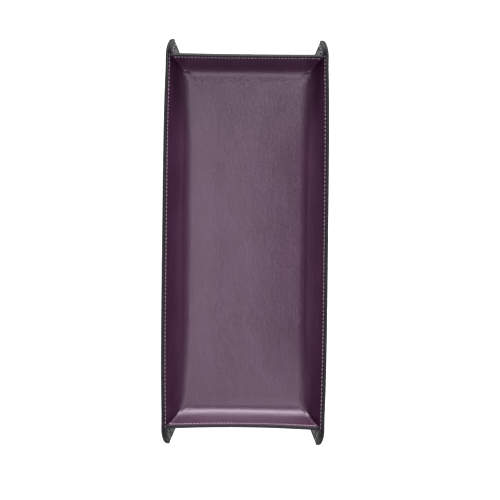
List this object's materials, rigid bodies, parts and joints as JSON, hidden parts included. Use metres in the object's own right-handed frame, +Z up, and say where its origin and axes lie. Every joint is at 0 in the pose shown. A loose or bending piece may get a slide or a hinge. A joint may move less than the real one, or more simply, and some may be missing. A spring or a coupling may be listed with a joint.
{
  "type": "folding dice tray",
  "caption": "Long narrow folding dice tray of laminated leather, black outside and purple inside, with a stitched rim and corners pinched into ears by snaps.",
  "frame": {"origin": "centre of the tray's underside, on the table", "axes": "+X to the right across the tray, +Y along the tray to its back short wall, +Z up out of the tray"},
  "size_m": [0.134, 0.333, 0.0244],
  "materials": {
    "outer_leather": "fine grain, low sheen, black",
    "lining_leather": "fine pebble grain, soft sheen, deep purple",
    "board": "plain leather fibre board",
    "thread": "waxed polyester, pale mauve",
    "snap_metal": "black lacquer, semi gloss"
  },
  "bodies": {
    "back_left_flap": {"back_left_flap_lining": "lining_leather", "back_left_flap_outer_leather": "outer_leather", "back_left_flap_stitching": "thread", "back_left_snap_post": "snap_metal", "back_left_snap_stud": "snap_metal"},
    "left_wall": {"back_left_snap_cap": "snap_metal", "back_left_snap_socket": "snap_metal", "front_left_snap_cap": "snap_metal", "front_left_snap_socket": "snap_metal", "left_wall_board": "board", "left_wall_lining": "lining_leather", "left_wall_outer_leather": "outer_leather", "left_wall_stitching": "thread"},
    "back_right_flap": {"back_right_flap_lining": "lining_leather", "back_right_flap_outer_leather": "outer_leather", "back_right_flap_stitching": "thread", "back_right_snap_post": "snap_metal", "back_right_snap_stud": "snap_metal"},
    "right_wall": {"back_right_snap_cap": "snap_metal", "back_right_snap_socket": "snap_metal", "front_right_snap_cap": "snap_metal", "front_right_snap_socket": "snap_metal", "right_wall_board": "board", "right_wall_lining": "lining_leather", "right_wall_outer_leather": "outer_leather", "right_wall_stitching": "thread"},
    "back_wall": {"back_wall_board": "board", "back_wall_lining": "lining_leather", "back_wall_outer_leather": "outer_leather", "back_wall_stitching": "thread"},
    "base": {"base_board": "board", "base_lining": "lining_leather", "base_outer_leather": "outer_leather"},
    "front_left_flap": {"front_left_flap_lining": "lining_leather", "front_left_flap_outer_leather": "outer_leather", "front_left_flap_stitching": "thread", "front_left_snap_post": "snap_metal", "front_left_snap_stud": "snap_metal"},
    "front_right_flap": {"front_right_flap_lining": "lining_leather", "front_right_flap_outer_leather": "outer_leather", "front_right_flap_stitching": "thread", "front_right_snap_post": "snap_metal", "front_right_snap_stud": "snap_metal"},
    "front_wall": {"front_wall_board": "board", "front_wall_lining": "lining_leather", "front_wall_outer_leather": "outer_leather", "front_wall_stitching": "thread"}
  },
  "joints": [
    {"name": "left_wall_fold", "type": "hinge", "parent": "base", "child": "left_wall", "pos_m": [-0.056, 0, 0], "axis": [0, -1, 0], "range_deg": [0, 65]},
    {"name": "right_wall_fold", "type": "hinge", "parent": "base", "child": "right_wall", "pos_m": [0.056, 0, 0], "axis": [0, 1, 0], "range_deg": [0, 65]},
    {"name": "back_wall_fold", "type": "hinge", "parent": "base", "child": "back_wall", "pos_m": [0, 0.143, 0], "axis": [-1, 0, 0], "range_deg": [0, 65]},
    {"name": "front_wall_fold", "type": "hinge", "parent": "base", "child": "front_wall", "pos_m": [0, -0.143, 0], "axis": [1, 0, 0], "range_deg": [0, 65]},
    {"name": "back_left_flap_fold", "type": "hinge", "parent": "left_wall", "child": "back_left_flap", "pos_m": [-0.06143, 0.1629, 0.01733], "axis": [-0.2988, 0.7071, 0.6409], "range_deg": [0, 180]},
    {"name": "back_right_flap_fold", "type": "hinge", "parent": "right_wall", "child": "back_right_flap", "pos_m": [0.06143, 0.1629, 0.01733], "axis": [-0.2988, -0.7071, -0.6409], "range_deg": [0, 180]},
    {"name": "front_left_flap_fold", "type": "hinge", "parent": "left_wall", "child": "front_left_flap", "pos_m": [-0.06143, -0.1629, 0.01733], "axis": [0.2988, 0.7071, -0.6409], "range_deg": [0, 180]},
    {"name": "front_right_flap_fold", "type": "hinge", "parent": "right_wall", "child": "front_right_flap", "pos_m": [0.06143, -0.1629, 0.01733], "axis": [0.2988, -0.7071, 0.6409], "range_deg": [0, 180]}
  ],
  "couplings": [
    {"joint": "right_wall_fold", "follows": "left_wall_fold", "ratio": 1},
    {"joint": "back_wall_fold", "follows": "left_wall_fold", "ratio": 1},
    {"joint": "front_wall_fold", "follows": "left_wall_fold", "ratio": 1},
    {"joint": "back_left_flap_fold", "follows": "left_wall_fold", "ratio": 2.7692},
    {"joint": "back_right_flap_fold", "follows": "left_wall_fold", "ratio": 2.7692},
    {"joint": "front_left_flap_fold", "follows": "left_wall_fold", "ratio": 2.7692},
    {"joint": "front_right_flap_fold", "follows": "left_wall_fold", "ratio": 2.7692}
  ]
}
